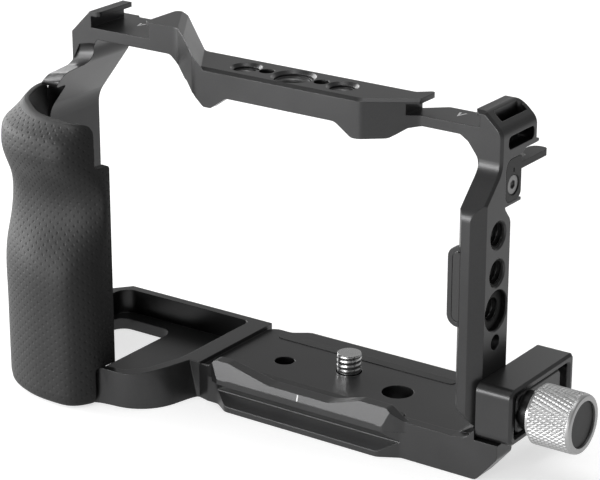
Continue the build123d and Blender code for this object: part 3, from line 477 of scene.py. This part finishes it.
def cubic(t, values, at):
    """Natural cubic spline through values at t, evaluated at the given places."""
    values = np.asarray(values, float)
    n = len(t)
    h = np.diff(t)
    system = np.zeros((n, n))
    right = np.zeros((n,) + values.shape[1:])
    system[0, 0] = system[-1, -1] = 1.0
    for i in range(1, n - 1):
        system[i, i - 1:i + 2] = (h[i - 1], 2 * (h[i - 1] + h[i]), h[i])
        right[i] = 6 * ((values[i + 1] - values[i]) / h[i] - (values[i] - values[i - 1]) / h[i - 1])
    m = np.linalg.solve(system, right)
    k = np.clip(np.searchsorted(t, at, side="right") - 1, 0, n - 2)
    a = (t[k + 1] - at) / h[k]
    b = 1.0 - a
    hk = h[k]
    if values.ndim > 1:
        a, b, hk = a[:, None], b[:, None], hk[:, None]
    return (a * values[k] + b * values[k + 1]
            + ((a ** 3 - a) * m[k] + (b ** 3 - b) * m[k + 1]) * hk ** 2 / 6)


def hollow_at(z):
    return cubic(GRIP_LEVELS[:, 0], GRIP_LEVELS[:, 1], np.atleast_1d(z))


def lean_at(z):
    return cubic(GRIP_LEVELS[:, 0], GRIP_LEVELS[:, 2], np.atleast_1d(z))


def rounded(rise, radius):
    """How far a quarter-round edge has come in, this far above its start."""
    return radius - math.sqrt(max(0.0, radius ** 2 - max(0.0, rise) ** 2))


def lengths(points):
    """Length along a line of points, from its start."""
    return np.concatenate([[0.0], np.cumsum(np.linalg.norm(np.diff(points, axis=0), axis=1))])


def grip_curve(hollow, inset, lean):
    """Smooth outline at one height, moved inward by inset and the rim's lean, with its lengths."""
    raw = GRIP_OUTLINE[:, :2] + GRIP_OUTLINE[:, 2:3] * np.array([HOLLOW_SIDEWAYS * hollow, hollow])
    along = np.empty_like(raw)
    along[1:-1] = raw[2:] - raw[:-2]
    along[0] = raw[1] - raw[0]
    along[-1] = raw[-1] - raw[-2]
    along /= np.linalg.norm(along, axis=1)[:, None]
    inward = np.stack([along[:, 1], -along[:, 0]], axis=1)
    moved = raw + inward * (inset + lean * GRIP_OUTLINE[:, 3:4])
    t = lengths(moved)
    dense = cubic(t, moved, np.linspace(0.0, t[-1], 500))
    return dense, lengths(dense)


def sample(curve, places):
    dense, length = curve
    return np.stack([np.interp(places, length, dense[:, 0]), np.interp(places, length, dense[:, 1])], axis=1)


def from_y(y):
    """The row begins where its curve first passes y on its way to the front."""
    def begin(curve):
        dense, length = curve
        return length[int(np.argmax(dense[:, 1] <= y))]
    return begin


def from_run(run):
    """The row begins this far along its curve."""
    return lambda curve: run


def grip_rows():
    """Height of each row, with the function that says where on the curve it begins."""
    rows = [(z, from_y(NOTCH_Y)) for z in np.arange(GRIP_FOOT, NOTCH_Z - CORNER, ROW_STEP)]
    for rise in np.linspace(0.0, CORNER, 7):
        rows.append((NOTCH_Z - CORNER + rise, from_y(NOTCH_Y + rounded(rise, CORNER))))
    rows.append((NOTCH_Z, from_run(0.0)))
    rows += [(z, from_run(0.0)) for z in np.arange(NOTCH_Z + ROW_STEP, STEP_Z - CORNER, ROW_STEP)]
    for rise in np.linspace(0.0, CORNER, 9):
        rows.append((STEP_Z - CORNER + rise, from_run(rounded(rise, CORNER))))
    for rise in np.linspace(0.0, CORNER, 7):
        rows.append((STEP_Z + rise, from_y(STEP_Y + rounded(CORNER - rise, CORNER))))
    heights = list(np.arange(STEP_Z + CORNER + ROW_STEP, RIM_Z - LIP, ROW_STEP * TOP_STEP))
    heights += [RIM_Z - LIP + LIP * share for share in (0.0, 0.25, 0.5, 0.7, 0.85, 0.95, 1.0)]
    for z in heights:
        slant = max(0.0, z - SLANT_Z) * SLANT
        round_off = rounded(z - RIM_Z + TOP_CORNER, TOP_CORNER) * TOP_CORNER_SHARE
        rows.append((z, from_y(STEP_Y - slant - round_off)))
    return rows


def climb_at(z):
    """Length of the way up the skin from its foot to a height."""
    fine_z = np.linspace(GRIP_FOOT, RIM_Z, 800)
    lean_slope = LEAN_REACH * np.gradient(lean_at(fine_z), fine_z)
    hollow_slope = HOLLOW_REACH * np.gradient(hollow_at(fine_z), fine_z)
    slope = np.hypot(1.0, np.hypot(lean_slope, hollow_slope))
    climb = np.concatenate([[0.0], np.cumsum((slope[1:] + slope[:-1]) / 2 * np.diff(fine_z))])
    return np.interp(z, fine_z, climb)


def dimpled(outer, s, t):
    """Outer surface with dimples in staggered rows, pressed in along the surface normal."""
    normal = np.cross(np.gradient(outer, axis=1), np.gradient(outer, axis=0))
    size = np.linalg.norm(normal, axis=2, keepdims=True)
    normal = np.where(size > 1e-9, normal / np.maximum(size, 1e-9), 0.0)
    row = np.round(t / DIMPLE_UP)
    nearest = np.full(s.shape, DIMPLE_ACROSS + DIMPLE_UP)
    for shift in (-1, 0, 1):
        r = row + shift
        offset = np.where(r % 2 == 0, 0.0, 0.5)
        c = np.round(s / DIMPLE_ACROSS - offset)
        away = np.hypot(s - (c + offset) * DIMPLE_ACROSS, t - r * DIMPLE_UP)
        nearest = np.minimum(nearest, away)
    edge = np.minimum(np.minimum(t - t.min(), t.max() - t), np.minimum(s - s[:, :1], s[:, -1:] - s))
    keep = np.clip((edge - DIMPLE_MARGIN) / DIMPLE_FADE, 0.0, 1.0)
    flat, rim = DIMPLE_R
    cup = 1.0 - np.clip((nearest - flat) / (rim - flat), 0.0, 1.0)
    cup = cup * cup * (3 - 2 * cup)
    return outer + normal * (DIMPLE_DEPTH * cup * keep)[:, :, None]


def closed_skin(outer, inner):
    """Closed mesh from rows of outer points followed by rows of inner points."""
    loops = np.concatenate([outer, inner], axis=1)
    rows, count = loops.shape[:2]
    faces = []
    for i in range(rows - 1):
        a = i * count
        b = a + count
        for j in range(count):
            k = (j + 1) % count
            faces.append((a + j, a + k, b + k, b + j))
    faces.append(tuple(range(count))[::-1])
    faces.append(tuple(range((rows - 1) * count, rows * count)))
    return loops.reshape(-1, 3) * MM, faces


def grip_mesh():
    outer_n = 340
    inner_n = 70
    rows = grip_rows()
    climbs = climb_at(np.array([z for z, begin in rows]))
    outer_rows = []
    inner_rows = []
    s_rows = []
    for z, begin in rows:
        hollow = float(hollow_at(z)[0])
        lean = float(lean_at(z)[0])
        lip = rounded(z - RIM_Z + LIP, LIP)
        outer = grip_curve(hollow, float(np.interp(z, *FOOT_EDGE)) + lip + CLEAR, lean)
        inner = grip_curve(hollow, SKIN - lip, lean)
        places = np.linspace(begin(outer), outer[1][-1], outer_n)
        back = np.linspace(inner[1][-1], begin(inner), inner_n)
        outer_rows.append(np.column_stack([sample(outer, places), np.full(outer_n, z)]))
        inner_rows.append(np.column_stack([sample(inner, back), np.full(inner_n, z)]))
        s_rows.append(places * (ROW_RUN / outer[1][-1]))
    s = np.array(s_rows)
    t = np.broadcast_to(climbs[:, None], s.shape)
    return closed_skin(dimpled(np.array(outer_rows), s, t), np.array(inner_rows))


mesh_object("grip_dimpled_skin", *grip_mesh(), "black_silicone", "frame", ["grip_skin"])


# ---------------------------------------------------------------- floor, sky and lamps
FLOOR_HALF = 12.0
FLOOR_DROP = 0.0001
FLOOR_SEEN = (0.54, 0.56)            # colour of the floor where camera, glossy and transmission rays see it
FLOOR_GLOW = 0.65                    # and its own pale shine there
FLOOR_BOUNCED = (0.29, 0.31)         # colour from which it lights the object
SKY_SEEN = 0.42
SKY_LIGHT = 0.05
AIM = (0.0, 0.0, 0.04)
# Name, place, width and height in metres, and power in watts.
LAMPS = (
    ("front", (-0.138, -1.578, 0.263), (0.5, 0.5), 14.0),
    ("front_left", (-0.909, -1.298, 0.263), (0.8, 0.5), 14.5),
    ("left_front", (-1.481, -0.539, 0.318), (0.8, 0.8), 21.0),
    ("left", (-1.565, 0.0, 0.373), (0.8, 0.8), 24.0),
    ("left_back", (-1.401, 0.653, 0.454), (0.8, 0.8), 9.0),
    ("back", (-0.2, 1.5, 0.55), (1.0, 0.8), 2.0),
    ("above", (0.0, -0.056, 1.639), (0.8, 0.8), 8.5),
)
WHITE = (1.0, 1.0, 1.0, 1.0)


def seen_rays(tree):
    """1 for camera, glossy and transmission rays, so that metal shows the background too."""
    path = tree.nodes.new("ShaderNodeLightPath")
    shown = path.outputs["Is Camera Ray"]
    for kind in ("Is Glossy Ray", "Is Transmission Ray"):
        either = tree.nodes.new("ShaderNodeMath")
        either.operation = "MAXIMUM"
        tree.links.new(shown, either.inputs[0])
        tree.links.new(path.outputs[kind], either.inputs[1])
        shown = either.outputs[0]
    return shown


def mixed(tree, hidden, seen):
    """One shader for the seen rays and another for all others."""
    mix = tree.nodes.new("ShaderNodeMixShader")
    tree.links.new(seen_rays(tree), mix.inputs["Fac"])
    tree.links.new(hidden, mix.inputs[1])
    tree.links.new(seen, mix.inputs[2])
    return mix.outputs["Shader"]


def floor_paint(tree, grain, colours):
    """Matt paint between two close greys."""
    paint = tree.nodes.new("ShaderNodeBsdfDiffuse")
    ramp = tree.nodes.new("ShaderNodeValToRGB")
    for element, value in zip(ramp.color_ramp.elements, colours):
        element.color = (value, value, value, 1.0)
    tree.links.new(grain, ramp.inputs["Fac"])
    tree.links.new(ramp.outputs["Color"], paint.inputs["Color"])
    return paint.outputs["BSDF"]


def floor_material():
    mat = bpy.data.materials.new("floor")
    mat.use_nodes = True
    tree = mat.node_tree
    tree.nodes.clear()
    grain = noise(tree, tree.nodes.new("ShaderNodeTexCoord").outputs["Object"], 30.0)
    glow = tree.nodes.new("ShaderNodeEmission")
    glow.inputs["Color"].default_value = WHITE
    glow.inputs["Strength"].default_value = FLOOR_GLOW
    pale = tree.nodes.new("ShaderNodeAddShader")
    tree.links.new(floor_paint(tree, grain, FLOOR_SEEN), pale.inputs[0])
    tree.links.new(glow.outputs["Emission"], pale.inputs[1])
    out = tree.nodes.new("ShaderNodeOutputMaterial")
    both = mixed(tree, floor_paint(tree, grain, FLOOR_BOUNCED), pale.outputs["Shader"])
    tree.links.new(both, out.inputs["Surface"])
    return mat


def floor():
    mesh = bpy.data.meshes.new("floor")
    r = FLOOR_HALF
    mesh.from_pydata([(-r, -r, 0), (r, -r, 0), (r, r, 0), (-r, r, 0)], [], [(0, 1, 2, 3)])
    mesh.materials.append(floor_material())
    obj = bpy.data.objects.new("floor", mesh)
    obj.location = (0.0, 0.0, -FLOOR_DROP)
    bpy.context.scene.collection.objects.link(obj)


def sky_sheet(tree, strength):
    sheet = tree.nodes.new("ShaderNodeBackground")
    sheet.inputs["Color"].default_value = WHITE
    sheet.inputs["Strength"].default_value = strength
    return sheet.outputs["Background"]


def sky():
    world = bpy.data.worlds.new("sky")
    bpy.context.scene.world = world
    world.use_nodes = True
    tree = world.node_tree
    tree.nodes.clear()
    out = tree.nodes.new("ShaderNodeOutputWorld")
    both = mixed(tree, sky_sheet(tree, SKY_LIGHT), sky_sheet(tree, SKY_SEEN))
    tree.links.new(both, out.inputs["Surface"])


def lamp(name, place, size, power):
    data = bpy.data.lights.new(name, "AREA")
    data.shape = "RECTANGLE"
    data.size, data.size_y = size
    data.energy = power
    obj = bpy.data.objects.new(name, data)
    obj.location = place
    obj.rotation_euler = (Vector(AIM) - Vector(place)).to_track_quat("-Z", "Y").to_euler()
    bpy.context.scene.collection.objects.link(obj)


floor()
sky()
for settings in LAMPS:
    lamp(*settings)


# ---------------------------------------------------------------- camera, fitted to the photo
LENS = 140.1             # on a 36 mm sensor
CAMERA_PLACE = (0.29851, -0.44383, 0.24243)
CAMERA_TURN = 35.0       # degrees to the right of the front
CAMERA_ABOVE = 20.3      # degrees that it looks down


def camera():
    data = bpy.data.cameras.new("camera")
    data.lens = LENS
    data.sensor_width = 36.0
    data.clip_start = 0.01
    obj = bpy.data.objects.new("camera", data)
    obj.location = CAMERA_PLACE
    obj.rotation_euler = (math.radians(90.0 - CAMERA_ABOVE), 0.0, math.radians(CAMERA_TURN))
    bpy.context.scene.collection.objects.link(obj)
    bpy.context.scene.camera = obj


camera()
bpy.context.scene.view_settings.view_transform = "Standard"
